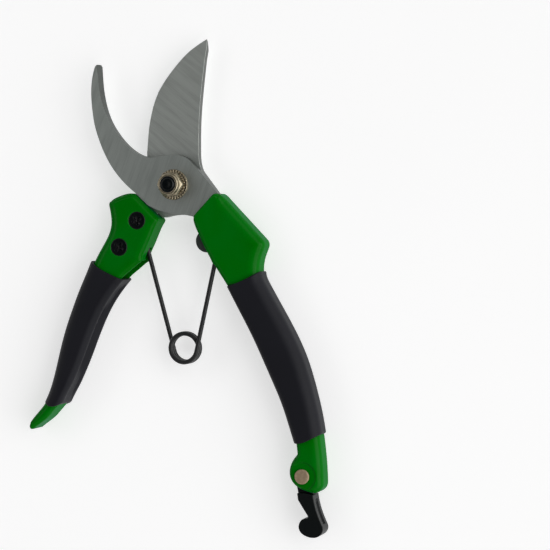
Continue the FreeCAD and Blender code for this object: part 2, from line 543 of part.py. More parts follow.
# coil: winds from the right leg down to the left leg
turn = 2.0 * 360.0 + ((aR - aL) % 360.0)
rise = LEG_R_Z - LEG_L_Z
pitch = rise / (turn / 360.0)
if pitch < 2 * WIRE_R:
    print("coil pitch", pitch)
try:
    h = Part.makeHelix(pitch, rise, COIL_R)
    h.rotate(V(0, 0, 0), V(0, 0, 1), aL)
    h.translate(V(COIL_C[0], COIL_C[1], LEG_L_Z))
    start = V(TL[0], TL[1], LEG_L_Z)
    tdir = V(-math.sin(math.radians(aL)), math.cos(math.radians(aL)), pitch / (2 * math.pi * COIL_R))
    circ = Part.Wire(Part.Circle(start, tdir, WIRE_R).toShape())
    coil = Part.Wire(h.Edges).makePipeShell([circ], True, True)
    circ = Part.Wire(Part.Circle(start, tdir, WIRE_R + 0.03).toShape())
    coil_room = Part.Wire(h.Edges).makePipeShell([circ], True, True)
    print("coil", coil.isValid(), coil.Volume, "expected", math.pi * WIRE_R ** 2 * math.radians(turn) * COIL_R)
except Exception as err:
    coil = coil_room = None
    print("coil failed", err)
if coil is None or not coil.isValid() or coil.Volume < 50:
    coil = coil_room = Part.makeTorus(COIL_R, WIRE_R, V(COIL_C[0], COIL_C[1], LEG_L_Z + 0.8))
print("tangents", TL, aL, TR, aR)
knot = Part.makeSphere(WIRE_R + 0.04, V(TR[0], TR[1], LEG_R_Z))
save("spring_coil_and_right_leg", leg_r.fuse(knot).fuse(coil))
save("spring_left_leg", leg_l.cut(coil_room))

# ---- latch ------------------------------------------------------------------------------
px, py = LATCH_PIN
tongue = prism([
    ("s", [(54.9, -128.6), (53.9, -123.6), (54.2, -120.2), (56.6, -118.1), (59.6, -118.4), (61.5, -120.8),
           (61.5, -124.6), (61.7, -130.0)]),
    ("l", [(61.7, -130.0), (62.3, -133.0), (56.9, -133.0), (55.5, -131.3), (54.9, -128.6)]),
], END_SLOT_Z0 + 0.12, END_SLOT_Z1 - 0.12)
hook = prism([
    ("l", [(55.2, -129.0), (55.6, -131.9), (60.1, -138.8), (59.7, -139.35)]),
    ("s", [(59.7, -139.35), (58.5, -139.5), (57.2, -140.1), (56.3, -141.3), (55.85, -142.9), (56.1, -144.4), (57.1, -145.8), (58.9, -146.9), (61.4, -147.5),
           (63.8, -147.2), (65.5, -146.1), (66.4, -144.4), (66.2, -142.5)]),
    ("s", [(66.2, -142.5), (64.8, -139.4), (63.6, -136.2), (62.7, -133.0), (62.1, -129.7)]),
    ("l", [(62.1, -129.7), (59.4, -129.0), (55.2, -129.0)]),
], 3.2, 11.8)
hook = vround(hook, [(55.6, -131.9, 0.8)])
for z in (3.2, 11.8):
    hook = rim(hook, z, 0.35)
groove = prism([
    ("s", [(65.2, -142.0), (64.1, -139.3), (63.1, -136.4), (62.15, -133.2), (61.7, -131.6)]),
    ("l", [(61.7, -131.6), (68.0, -131.0), (70.0, -142.0), (65.2, -142.0)]),
], 6.0, 9.0)
latch = tongue.fuse(hook.cut(groove))
latch = latch.cut(cyl(LATCH_PIN, LATCH_BORE_R, 0, 15))
save("latch", latch.removeSplitter())

rv = cyl(LATCH_PIN, RIVET_R - 0.01, CAST_Z0, CAST_Z1 - LOBE_STEP)
h1 = cyl(LATCH_PIN, RIVET_HEAD_R, CAST_Z1 - LOBE_STEP, CAST_Z1 - LOBE_STEP + 0.9)
h1 = rim(h1, CAST_Z1 - LOBE_STEP + 0.9, 0.5)
h2 = cyl(LATCH_PIN, 2.6, CAST_Z0 - 0.8, CAST_Z0)
h2 = rim(h2, CAST_Z0 - 0.8, 0.4)
save("latch_rivet", rv.fuse(h1).fuse(h2).removeSplitter())

allb = Part.makeCompound(list(NODES.values())).BoundBox
print("box", allb)
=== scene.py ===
import bpy, bmesh, json, math
from mathutils import Vector, Matrix
from mathutils.kdtree import KDTree

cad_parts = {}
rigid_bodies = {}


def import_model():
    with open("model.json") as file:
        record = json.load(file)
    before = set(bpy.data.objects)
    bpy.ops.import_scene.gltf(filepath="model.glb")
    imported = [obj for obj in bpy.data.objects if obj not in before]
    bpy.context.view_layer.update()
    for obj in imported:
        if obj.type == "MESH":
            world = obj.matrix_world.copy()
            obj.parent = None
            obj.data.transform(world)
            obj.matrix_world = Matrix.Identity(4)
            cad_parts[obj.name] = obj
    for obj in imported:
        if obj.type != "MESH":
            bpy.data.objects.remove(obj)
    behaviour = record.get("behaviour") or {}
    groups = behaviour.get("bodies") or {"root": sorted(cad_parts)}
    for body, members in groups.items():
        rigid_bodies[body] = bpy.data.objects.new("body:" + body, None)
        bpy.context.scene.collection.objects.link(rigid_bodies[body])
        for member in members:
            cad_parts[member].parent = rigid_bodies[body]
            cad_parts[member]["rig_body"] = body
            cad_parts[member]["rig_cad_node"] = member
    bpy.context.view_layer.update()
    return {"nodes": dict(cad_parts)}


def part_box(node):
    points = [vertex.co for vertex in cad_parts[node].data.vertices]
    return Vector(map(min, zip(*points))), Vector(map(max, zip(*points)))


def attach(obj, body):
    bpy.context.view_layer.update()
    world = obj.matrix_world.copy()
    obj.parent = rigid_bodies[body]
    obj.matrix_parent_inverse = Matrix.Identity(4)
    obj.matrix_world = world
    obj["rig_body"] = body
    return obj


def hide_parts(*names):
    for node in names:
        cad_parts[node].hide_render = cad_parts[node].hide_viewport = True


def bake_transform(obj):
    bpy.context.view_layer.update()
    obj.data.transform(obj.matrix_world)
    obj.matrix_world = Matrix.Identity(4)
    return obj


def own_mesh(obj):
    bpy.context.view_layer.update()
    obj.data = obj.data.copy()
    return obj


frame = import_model()
NODES = frame["nodes"]
MM = 0.001

scene = bpy.context.scene
COL = scene.collection


# ---------------------------------------------------------------- helpers
def lerp(a, b, t):
    return a + (b - a) * t


def smooth(t):
    t = min(1.0, max(0.0, t))
    return t * t * (3 - 2 * t)


def natural_spline(pts):
    """C2 chord-length cubic through points; returns f(t in 0..1) -> (x, y)."""
    n = len(pts)
    u = [0.0]
    for a, b in zip(pts, pts[1:]):
        u.append(u[-1] + math.dist(a, b))
    h = [u[i + 1] - u[i] for i in range(n - 1)]
    dims = len(pts[0])
    M = []
    for k in range(dims):
        y = [p[k] for p in pts]
        m = [0.0] * n
        if n > 2:
            a = [0.0] * n; b = [1.0] * n; c = [0.0] * n; d = [0.0] * n
            for i in range(1, n - 1):
                a[i] = h[i - 1]; b[i] = 2 * (h[i - 1] + h[i]); c[i] = h[i]
                d[i] = 6 * ((y[i + 1] - y[i]) / h[i] - (y[i] - y[i - 1]) / h[i - 1])
            for i in range(1, n):
                w = a[i] / b[i - 1]
                b[i] -= w * c[i - 1]
                d[i] -= w * d[i - 1]
            m[n - 1] = d[n - 1] / b[n - 1]
            for i in range(n - 2, -1, -1):
                m[i] = (d[i] - c[i] * m[i + 1]) / b[i]
        M.append(m)

    def f(t):
        s = min(max(t, 0.0), 1.0) * u[-1]
        i = 0
        while i < n - 2 and s > u[i + 1]:
            i += 1
        x = s - u[i]
        out = []
        for k in range(dims):
            y0, y1 = pts[i][k], pts[i + 1][k]
            m0, m1 = M[k][i], M[k][i + 1]
            out.append(y0 + x * ((y1 - y0) / h[i] - h[i] * (2 * m0 + m1) / 6) + x * x * m0 / 2 + x ** 3 * (m1 - m0) / (6 * h[i]))
        return tuple(out)
    return f


def mesh_obj(name, verts, faces, scale=MM, smooth_shade=True):
    me = bpy.data.meshes.new(name)
    me.from_pydata([tuple(c * scale for c in v) for v in verts], [], faces)
    me.validate()
    bm = bmesh.new()
    bm.from_mesh(me)
    bmesh.ops.recalc_face_normals(bm, faces=bm.faces)
    bm.to_mesh(me)
    bm.free()
    if smooth_shade:
        me.polygons.foreach_set("use_smooth", [True] * len(me.polygons))
    ob = bpy.data.objects.new(name, me)
    COL.objects.link(ob)
    return ob


def from_bm(name, bm, smooth_shade=True):
    me = bpy.data.meshes.new(name)
    bmesh.ops.recalc_face_normals(bm, faces=bm.faces)
    bm.to_mesh(me)
    bm.free()
    if smooth_shade:
        me.polygons.foreach_set("use_smooth", [True] * len(me.polygons))
    ob = bpy.data.objects.new(name, me)
    COL.objects.link(ob)
    return ob


def add_bevel(ob, width, segs=3, angle=30.0, weld=False, weighted=True, limit_overlap=False):
    if weld:
        w = ob.modifiers.new("weld", "WELD")
        w.merge_threshold = 1e-6
    b = ob.modifiers.new("bevel", "BEVEL")
    b.width = width * MM
    b.segments = segs
    b.limit_method = "ANGLE"
    b.angle_limit = math.radians(angle)
    b.use_clamp_overlap = limit_overlap
    b.miter_outer = "MITER_ARC"
    b.harden_normals = False
    if weighted:
        n = ob.modifiers.new("normals", "WEIGHTED_NORMAL")
        n.weight = 80
        n.keep_sharp = False
    return b


def all_smooth(ob):
    ob.data.polygons.foreach_set("use_smooth", [True] * len(ob.data.polygons))


def rings_to_mesh(name, rings, closed_len=False, caps=True):
    """rings: list of equal-length rings of (x, y, z)."""
    n = len(rings[0])
    verts = [p for r in rings for p in r]
    faces = []
    m = len(rings)
    for i in range(m if closed_len else m - 1):
        a, b = i * n, ((i + 1) % m) * n
        for j in range(n):
            k = (j + 1) % n
            faces.append((a + j, a + k, b + k, b + j))
    if caps and not closed_len:
        faces.append(tuple(range(n))[::-1])
        faces.append(tuple((m - 1) * n + j for j in range(n)))
    return mesh_obj(name, verts, faces)


# ---------------------------------------------------------------- materials
class Mat:
    """Small node-tree builder."""

    def __init__(self, name):
        self.m = bpy.data.materials.new(name)
        self.m.use_nodes = True
        self.t = self.m.node_tree
        self.t.nodes.clear()
        self.out = self.t.nodes.new("ShaderNodeOutputMaterial")
        self.b = self.t.nodes.new("ShaderNodeBsdfPrincipled")
        self.t.links.new(self.b.outputs[0], self.out.inputs[0])
        self.co = self.t.nodes.new("ShaderNodeTexCoord")

    def node(self, kind, **props):
        n = self.t.nodes.new(kind)
        for k, v in props.items():
            setattr(n, k, v)
        return n

    def link(self, a, b):
        self.t.links.new(a, b)

    def mapping(self, scale=(1000, 1000, 1000), rot=(0, 0, 0)):
        m = self.node("ShaderNodeMapping")
        m.inputs["Scale"].default_value = scale
        m.inputs["Rotation"].default_value = rot
        self.link(self.co.outputs["Object"], m.inputs["Vector"])
        return m.outputs["Vector"]

    def noise(self, vec, scale, detail=3.0, rough=0.5):
        n = self.node("ShaderNodeTexNoise")
        n.inputs["Scale"].default_value = scale
        n.inputs["Detail"].default_value = detail
        n.inputs["Roughness"].default_value = rough
        self.link(vec, n.inputs["Vector"])
        return n.outputs["Fac"]

    def ramp(self, fac, stops):
        r = self.node("ShaderNodeValToRGB")
        e = r.color_ramp.elements
        while len(e) < len(stops):
            e.new(0.5)
        for el, (p, c) in zip(e, stops):
            el.position = p
            el.color = (c, c, c, 1) if isinstance(c, (int, float)) else tuple(c) + (1,)
        self.link(fac, r.inputs[0])
        return r.outputs[0]

    def maprange(self, v, a, b, c, d):
        n = self.node("ShaderNodeMapRange")
        n.inputs[1].default_value = a
        n.inputs[2].default_value = b
        n.inputs[3].default_value = c
        n.inputs[4].default_value = d
        self.link(v, n.inputs[0])
        return n.outputs[0]

    def bump(self, height, strength, dist=0.0001, normal=None):
        b = self.node("ShaderNodeBump")
        b.inputs["Strength"].default_value = strength
        b.inputs["Distance"].default_value = dist
        self.link(height, b.inputs["Height"])
        if normal is not None:
            self.link(normal, b.inputs["Normal"])
        return b.outputs["Normal"]

    def set(self, **kw):
        for k, v in kw.items():
            self.b.inputs[k.replace("_", " ")].default_value = v

    def to(self, socket, name):
        self.link(socket, self.b.inputs[name])


def mat_paint():
    m = Mat("paint_green")
    v = m.mapping()
    broad = m.noise(v, 0.055, 2)
    col = m.ramp(broad, [(0.35, (0.0, 0.148, 0.0004)), (0.65, (0.0, 0.161, 0.0046))])
    m.to(col, "Base Color")
    fine = m.noise(v, 0.5, 2, 0.5)
    m.to(m.maprange(fine, 0.3, 0.7, 0.26, 0.32), "Roughness")
    m.set(Metallic=0.0, Specular_IOR_Level=0.0, Coat_Weight=0.15, Coat_Roughness=0.10, Sheen_Weight=0.16, Sheen_Roughness=0.30)
    m.b.inputs["Sheen Tint"].default_value = (0.05, 0.55, 0.75, 1)
    return m.m


def mat_grip():
    m = Mat("grip_vinyl")
    v = m.mapping()
    broad = m.noise(v, 0.05, 3)
    col = m.ramp(broad, [(0.3, (0.0048, 0.0050, 0.0088)), (0.7, (0.0066, 0.0068, 0.0115))])
    m.to(col, "Base Color")
    grain = m.noise(v, 3.2, 5, 0.62)
    m.to(m.maprange(grain, 0.3, 0.7, 0.50, 0.66), "Roughness")
    n1 = m.bump(grain, 0.16, 0.00012)
    m.to(n1, "Normal")
    m.set(Metallic=0.0, Specular_IOR_Level=0.26)
    return m.m


def mat_steel(name, angle, lo, hi, rough=0.34):
    """Ground steel: fine long scratches along a direction in the blade's plane."""
    m = Mat(name)
    v = m.mapping(scale=(1000, 1000, 1000), rot=(0, 0, math.radians(-angle)))
    s1 = m.node("ShaderNodeMapping")
    s1.inputs["Scale"].default_value = (0.09, 4.5, 4.5)
    m.link(v, s1.inputs["Vector"])
    lines = m.noise(s1.outputs[0], 1.0, 4, 0.65)
    s2 = m.node("ShaderNodeMapping")
    s2.inputs["Scale"].default_value = (0.05, 0.5, 0.5)
    m.link(v, s2.inputs["Vector"])
    wide = m.noise(s2.outputs[0], 1.0, 2, 0.5)
    mix = m.node("ShaderNodeMath", operation="MULTIPLY_ADD")
    m.link(wide, mix.inputs[0])
    mix.inputs[1].default_value = 0.8
    m.link(lines, mix.inputs[2])
    col = m.ramp(mix.outputs[0], [(0.62, tuple(lo)), (1.15, tuple(hi))])
    # side and ground faces are darkened the further they turn away from the flats: painted shade on the blade's edges
    nz = m.node("ShaderNodeSeparateXYZ")
    m.link(m.co.outputs["Normal"], nz.inputs[0])
    flat = m.node("ShaderNodeMath", operation="ABSOLUTE")
    m.link(nz.outputs[2], flat.inputs[0])
    sc = m.node("ShaderNodeVectorMath", operation="SCALE")
    m.link(col, sc.inputs[0])
    m.link(m.maprange(flat.outputs[0], 0.54, 0.70, 0.24, 1.0), sc.inputs[3])
    m.to(sc.outputs[0], "Base Color")
    m.to(m.maprange(lines, 0.3, 0.7, rough - 0.03, rough + 0.05), "Roughness")
    m.to(m.bump(lines, 0.08, 0.00004), "Normal")
    m.set(Metallic=1.0)
    return m.m


def mat_simple(name, color, rough, metallic=0.0, coat=0.0, grain=1.2, bump=0.08, spread=0.06, dist=0.0001, spec=0.5):
    m = Mat(name)
    v = m.mapping()
    n = m.noise(v, grain, 4, 0.6)
    lo = tuple(c * (1 - 0.16) for c in color)
    hi = tuple(c * (1 + 0.16) for c in color)
    m.to(m.ramp(n, [(0.3, lo), (0.7, hi)]), "Base Color")
    m.to(m.maprange(n, 0.3, 0.7, max(0.02, rough - spread), rough + spread), "Roughness")
    m.to(m.bump(n, bump, dist), "Normal")
    m.set(Metallic=metallic, Coat_Weight=coat, Coat_Roughness=0.15, Specular_IOR_Level=spec)
    return m.m


PAINT = mat_paint()
GRIP = mat_grip()
BLADE = mat_steel("steel_cutting_blade", -38, (0.53, 0.56, 0.53), (0.66, 0.70, 0.66), 0.42)
HOOK = mat_steel("steel_counter_blade", 68, (0.43, 0.465, 0.44), (0.53, 0.57, 0.54), 0.42)
ZINC = mat_simple("zinc_yellow", (0.36, 0.31, 0.22), 0.12, 1.0, grain=0.8, bump=0.05)
BLACKOX = mat_simple("black_oxide", (0.0012, 0.0024, 0.0030), 0.20, 0.0, grain=1.5, bump=0.05, spec=0.35)
NYLON = mat_simple("nylon_dark", (0.0030, 0.0052, 0.0075), 0.30, 0.0, grain=1.0, spec=0.3)
SPRING = mat_simple("spring_black", (0.012, 0.0125, 0.013), 0.34, 0.0, grain=2.0, bump=0.05, spec=0.4)
RUBBER = mat_simple("rubber_black", (0.026, 0.034, 0.030), 0.6, 0.0, grain=2.5, bump=0.12, spec=0.3)
LATCHM = mat_simple("latch_nylon", (0.0030, 0.0044, 0.0048), 0.40, 0.0, grain=2.4, bump=0.08, spec=0.2)
COPPER = mat_simple("rivet_copper", (0.46, 0.345, 0.225), 0.46, 0.55, grain=0.9, bump=0.12)


def use(ob, mat):
    ob.data.materials.clear()
    ob.data.materials.append(mat)


node_mats = {
    "counter_blade": HOOK, "cutting_blade": BLADE, "handle_left": PAINT, "handle_right": PAINT,
    "pivot_bolt": BLACKOX, "back_washer": ZINC, "lock_washer": ZINC, "pivot_nut": ZINC, "nut_nylon_insert": NYLON,
    "blade_screw_left_upper": BLACKOX, "blade_screw_left_lower": BLACKOX, "blade_screw_right_upper": BLACKOX,
    "blade_screw_right_lower": BLACKOX, "bumper": RUBBER, "latch": LATCHM, "latch_rivet": COPPER,
    "grip_left": GRIP, "grip_right": GRIP, "spring_coil_and_right_leg": SPRING, "spring_left_leg": SPRING,
}
for n, mt in node_mats.items():
    use(NODES[n], mt)
    all_smooth(NODES[n])
add_bevel(NODES["cutting_blade"], 0.12, 3, 32, weld=True)


# ---------------------------------------------------------------- cast and moulded bodies
def softened(node, name, voxel, rounds, body, mat):
    """The node's own shape with its edges softly rounded, as a casting's or a moulding's are."""
    ob = NODES[node].copy()
    ob.data = NODES[node].data.copy()
    ob.name = name
    ob.parent = None
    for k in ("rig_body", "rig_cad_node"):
        if k in ob:
            del ob[k]
    ob.modifiers.clear()
    COL.objects.link(ob)
    ob.matrix_world = Matrix.Identity(4)
    w = ob.modifiers.new("weld", "WELD")
    w.merge_threshold = 1e-6
    r = ob.modifiers.new("remesh", "REMESH")
    r.mode = "VOXEL"
    r.voxel_size = voxel * MM
    r.adaptivity = 0.0
    sm = ob.modifiers.new("smooth", "SMOOTH")
    sm.factor = 0.5
    sm.iterations = rounds
    dg = bpy.context.evaluated_depsgraph_get()
    me = bpy.data.meshes.new_from_object(ob.evaluated_get(dg))
    ob.modifiers.clear()
    old = ob.data
    ob.data = me
    me.name = name
    bpy.data.meshes.remove(old)
    all_smooth(ob)
    use(ob, mat)
    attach(ob, body)
    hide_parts(node)
    return ob


def edge_samples(sections, step=0.15):
    """Points along a closed outline with the width and depth of its soft edge."""
    pts = []
    for kind, line, wide, deep in sections:
        if kind == "s":
            f = natural_spline(line)
            n = max(2, int(sum(math.dist(a, b) for a, b in zip(line, line[1:])) / step))
            pts += [(*f(i / n), wide, deep) for i in range(n)]
        else:
            for a, b in zip(line, line[1:]):
                n = max(1, int(math.dist(a, b) / step))
                pts += [(lerp(a[0], b[0], i / n), lerp(a[1], b[1], i / n), wide, deep) for i in range(n)]
    # the softness changes gradually from one stretch to the next
    n, w = len(pts), 16
    W = [p[2] for p in pts]
    D = [p[3] for p in pts]
    out = []
    sw = sum(W[i % n] for i in range(-w, w + 1))
    sd = sum(D[i % n] for i in range(-w, w + 1))
    for i in range(n):
        out.append((pts[i][0], pts[i][1], sw / (2 * w + 1), sd / (2 * w + 1)))
        sw += W[(i + w + 1) % n] - W[(i - w) % n]
        sd += D[(i + w + 1) % n] - D[(i - w) % n]
    return out


def soft_edges(ob, sections, rim, zmid=7.5, half=6.0):
    """Roll the front and back faces over towards the outline, as on a casting."""
    pts = edge_samples(sections)
    tree = KDTree(len(pts))
    for i, p in enumerate(pts):
        tree.insert((p[0], p[1], 0.0), i)
    tree.balance()
    for v in ob.data.vertices:
        zr = v.co.z / MM - zmid
        a = abs(zr)
        if a <= 0.8:
            continue
        _, i, d = tree.find((v.co.x / MM, v.co.y / MM, 0.0))
        wide, deep = pts[i][2], pts[i][3]
        # the wall outside the slot and the channel can roll deeper than the cover over them
        big = deep > 2.0
        keep = 0.8 if big and d < 2.1 else 3.9
        if a <= keep or d >= wide:
            continue
        # the round already there on the palm side
        had = half
        if big and d < rim:
            had = half - rim + math.sqrt(max(0.0, rim * rim - (rim - d) ** 2))
        if zr < 0:
            deep = min(deep, 2.6)
        k = (wide - d) / wide
        top = half - deep * (1 - math.sqrt(max(0.0, 1 - k * k)))
        a = keep + (a - keep) / (had - keep) * (top - keep)
        v.co.z = (zmid + math.copysign(a, zr)) * MM
    ob.data.update()


LEFT_EDGE = [
    ("s", [(-17.3, -4.0), (-19.5, -3.6), (-22.3, -4.0), (-25.4, -5.05), (-28.0, -6.4), (-29.5, -8.2)], 2.6, 1.6),
    ("s", [(-29.5, -8.2), (-29.1, -11.2), (-28.6, -14.6), (-28.8, -18.2), (-30.3, -22.3), (-33.4, -27.6), (-36.2, -32.6),
           (-39.6, -39.3), (-43.0, -46.6), (-45.9, -54.0), (-48.6, -62.0), (-51.8, -73.3), (-54.8, -84.6), (-56.6, -89.6),
           (-58.4, -93.3)], 4.4, 3.0),
    ("l", [(-58.4, -93.3), (-59.5, -94.4)], 3.4, 1.9),
    ("s", [(-59.5, -94.4), (-62.6, -98.4), (-65.0, -101.1), (-66.5, -103.1)], 3.0, 1.8),
    ("l", [(-66.5, -103.1), (-66.9, -104.9), (-66.4, -106.2), (-65.2, -106.2)], 2.0, 1.4),
    ("s", [(-65.2, -106.2), (-61.9, -103.7), (-58.6, -101.2), (-56.0, -98.4), (-53.4, -95.6)], 2.2, 1.5),
    ("l", [(-53.4, -95.6), (-51.6, -93.6)], 2.0, 1.4),
    ("s", [(-51.6, -93.6), (-48.9, -88.0), (-45.7, -82.0), (-43.1, -76.0), (-39.8, -67.8), (-36.3, -59.6), (-32.8, -52.4),
           (-28.3, -45.6), (-24.0, -40.4)], 2.0, 1.4),
    ("l", [(-24.0, -40.4), (-21.2, -38.0), (-18.0, -35.5), (-15.9, -33.75), (-14.3, -32.75), (-14.15, -30.92)], 3.0, 1.8),
    ("s", [(-14.15, -30.92), (-13.1, -28.58), (-11.48, -25.24), (-9.82, -21.46), (-8.17, -17.88), (-6.63, -15.3)], 3.6, 1.9),
    ("l", [(-6.63, -15.3), (-6.8, -14.25), (-17.3, -4.0)], 0.9, 0.7),
]
RIGHT_EDGE = [
    ("l", [(18.6, -3.9), (9.65, -13.35), (9.53, -15.06)], 0.9, 0.7),
    ("s", [(9.53, -15.06), (10.06, -17.25), (11.82, -21.13), (13.57, -24.9), (15.4, -28.33), (17.0, -31.25)], 2.6, 1.6),
    ("l", [(17.0, -31.25), (17.85, -33.0)], 2.6, 1.6),
    ("s", [(17.85, -33.0), (19.2, -34.5), (20.6, -36.6), (22.6, -39.5), (24.6, -42.6)], 2.6, 1.6),
    ("l", [(24.6, -42.6), (25.9, -42.9)], 2.2, 1.5),
    ("s", [(25.9, -42.9), (30.6, -51.6), (35.9, -61.4), (39.5, -68.6), (42.6, -75.2), (46.3, -83.2), (49.4, -90.3),
           (52.0, -97.6), (54.4, -104.6)], 2.0, 1.4),
    ("l", [(54.4, -104.6), (55.0, -107.6), (55.5, -111.6), (55.6, -112.6)], 2.4, 1.6),
    ("s", [(55.6, -112.6), (54.1, -114.3), (52.7, -116.7), (51.95, -119.4), (52.05, -122.0), (53.0, -124.2), (54.8, -126.1),
           (57.2, -127.4), (59.6, -128.2), (61.8, -128.7)], 1.9, 1.3),
    ("l", [(61.8, -128.7), (62.6, -128.8)], 3.0, 1.8),
    ("s", [(62.6, -128.8), (64.3, -128.3), (65.75, -127.0), (66.5, -125.2)], 4.4, 2.6),
    ("s", [(66.5, -125.2), (66.35, -120.0), (66.0, -115.0), (65.3, -108.6), (64.8, -104.9)], 4.4, 3.2),
    ("l", [(64.8, -104.9), (64.0, -103.2)], 4.4, 3.2),
    ("s", [(64.0, -103.2), (63.6, -99.0), (61.8, -91.0), (59.4, -82.2), (56.9, -74.4), (53.9, -67.4), (50.3, -60.4),
           (46.2, -53.2), (42.8, -47.4), (40.0, -42.4), (38.6, -39.0), (38.2, -35.4), (38.7, -31.8), (39.9, -28.2)], 4.8, 3.4),
    ("l", [(39.9, -28.2), (41.3, -24.7), (22.3, -5.1)], 4.8, 3.4),
    ("l", [(22.3, -5.1), (20.6, -3.9), (18.6, -3.9)], 2.4, 1.5),
]
soft_edges(softened("handle_left", "left_casting", 0.28, 6, "left_handle", PAINT), LEFT_EDGE, 2.6)
soft_edges(softened("handle_right", "right_casting", 0.28, 6, "right_handle", PAINT), RIGHT_EDGE, 2.4)
softened("latch", "latch_hook", 0.16, 8, "latch", LATCHM)


# ---------------------------------------------------------------- sleeves
def coons(inn, out, top, bottom):
    fi, fo, ft, fb = natural_spline(inn), natural_spline(out), natural_spline(top), natural_spline(bottom)
    p00, p10, p01, p11 = inn[0], out[0], inn[-1], out[-1]

    def f(u, v):
        a, b, c, d = fi(v), fo(v), ft(u), fb(u)
        return tuple((1 - u) * a[k] + u * b[k] + (1 - v) * c[k] + v * d[k]
                     - ((1 - u) * (1 - v) * p00[k] + u * (1 - v) * p10[k] + (1 - u) * v * p01[k] + u * v * p11[k]) for k in (0, 1))
    return f, fi, fo


def sleeve(name, node, body, inn, out, top, bottom, length):
    lo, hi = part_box(node)
    z0, z1 = lo.z / MM, hi.z / MM
    f, fi, fo = coons(inn, out, top, bottom)
    R_PALM, R_IN = 5.0, 3.0

    def section(W, d):
        """Rounded rectangle inset by d, as (across, height) points; across 0 is the finger side."""
        pts = []

        def corner(cx, cz, r, a0, a1, n):
            for i in range(n + 1):
                a = math.radians(lerp(a0, a1, i / n))
                pts.append((cx + r * math.cos(a), cz + r * math.sin(a)))
        rp, ri = max(0.3, R_PALM - d), max(0.3, R_IN - d)
        x0, x1, y0, y1 = d, W - d, z0 + d, z1 - d
        corner(x1 - rp, y1 - rp, rp, 0, 90, 12)
        for i in range(1, 14):
            pts.append((lerp(x1 - rp, x0 + ri, i / 14), y1))
        corner(x0 + ri, y1 - ri, ri, 90, 180, 10)
        for i in range(1, 32):
            pts.append((x0, lerp(y1 - ri, y0 + ri, i / 32)))
        corner(x0 + ri, y0 + ri, ri, 180, 270, 10)
        for i in range(1, 14):
            pts.append((lerp(x0 + ri, x1 - rp, i / 14), y0))
        corner(x1 - rp, y0 + rp, rp, 270, 360, 12)
        for i in range(1, 8):
            pts.append((x1, lerp(y0 + rp, y1 - rp, i / 8)))
        return pts

    def ring(v, d, inner=False):
        a, b = fi(v), fo(v)
        W = math.dist(a, b)
        mid = min(v, 1 - v) * length
        out_ring = []
        for w, z in section(W, d):
            u = w / W
            # the finger side dips where the channel behind it is open
            near = smooth((0.5 - u) / 0.45)
            dip = 1.12 * smooth((z - 3.0) / 1.7) * smooth((12.0 - z) / 1.7)
            deep = 1.3 * smooth((z - 3.9) / 1.9) * smooth((11.1 - z) / 1.9) * smooth((mid - 12.0) / 9.0)
            if w < 2.0:
                w += dip * (smooth((mid - 12.0) / 9.0) if inner else smooth((mid - 0.5) / 7.0)) + deep
                u = w / W
            # the faces are a touch crowned
            crown = 0.30 * (2 * u - 1) ** 2
            if z > (z0 + z1) / 2:
                z -= crown * smooth((z - 12.0) / 2.5)
            else:
                z += crown * smooth((3.0 - z) / 2.5)
            x, y = f(u, v)
            wob = 0.05 * math.sin(0.21 * y + 1.3 * math.sin(0.11 * x)) * smooth(mid / 6)
            out_ring.append((x, y, min(z1, max(z0, z + (wob if z > 12 else 0) - 0.05 * (z > 12)))))
        return out_ring

    rl = 0.5
    rings = []
    steps = [rl * (1 - math.cos(math.radians(a))) for a in (0, 20, 40, 60, 75, 90)]
    insets = [rl * (1 - math.sin(math.radians(a))) for a in (0, 20, 40, 60, 75, 90)]
    vs = [(s / length, i) for s, i in zip(steps, insets)]
    n = 84
    body_v = [lerp(0.6 / length, 1 - 0.6 / length, i / n) for i in range(n + 1)]
    for v, i in vs:
        rings.append(ring(v, i))
    for v in body_v:
        rings.append(ring(v, 0.0))
    for v, i in reversed(vs):
        rings.append(ring(1 - v, i))
    wall = 1.25
    rings.append(ring(1.0, wall - 0.25, True))
    rings.append(ring(1 - 0.25 / length, wall, True))
    for i in range(29, 0, -1):
        rings.append(ring(i / 30, wall, True))
    rings.append(ring(0.25 / length, wall, True))
    rings.append(ring(0.0, wall - 0.25, True))
    ob = rings_to_mesh(name, rings, closed_len=True)
    use(ob, GRIP)
    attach(ob, body)
    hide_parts(node)
    return ob


GL_OUT = [(-37.9, -32.4), (-40.6, -38.6), (-43.6, -45.2), (-46.8, -53.2), (-49.8, -61.4), (-53.1, -73.0), (-56.1, -84.4),
          (-57.8, -89.3), (-60.1, -94.2)]
GL_IN = [(-22.6, -40.6), (-27.0, -45.8), (-31.5, -52.4), (-35.2, -59.6), (-38.6, -67.6), (-42.0, -76.0), (-44.5, -81.6),
         (-47.2, -87.0), (-49.6, -91.2), (-51.3, -94.5)]
GL_TOP = [(-22.6, -40.6), (-27.8, -38.3), (-33.2, -35.6), (-37.9, -32.4)]
GL_BOT = [(-51.3, -94.5), (-54.5, -95.8), (-57.4, -95.5), (-60.1, -94.2)]
GR_IN = [(24.4, -42.9), (29.6, -52.4), (34.8, -62.0), (38.4, -69.2), (41.5, -75.8), (45.2, -83.8), (48.3, -90.9),
         (51.0, -98.4), (54.2, -108.3)]
GR_OUT = [(39.2, -36.4), (39.6, -38.6), (41.2, -42.0), (44.0, -46.9), (47.4, -52.7), (51.5, -59.9), (55.1, -66.9), (58.1, -74.0),
          (60.7, -82.0), (63.1, -90.9), (64.9, -99.2), (65.7, -104.0)]
GR_TOP = [(24.4, -42.9), (29.6, -41.3), (34.4, -39.2), (39.2, -36.4)]
GR_BOT = [(54.2, -108.3), (58.2, -107.7), (62.2, -105.9), (65.7, -104.0)]
sleeve("left_sleeve", "grip_left", "left_handle", GL_IN, GL_OUT, GL_TOP, GL_BOT, 63.0)
sleeve("right_sleeve", "grip_right", "right_handle", GR_IN, GR_OUT, GR_TOP, GR_BOT, 70.0)

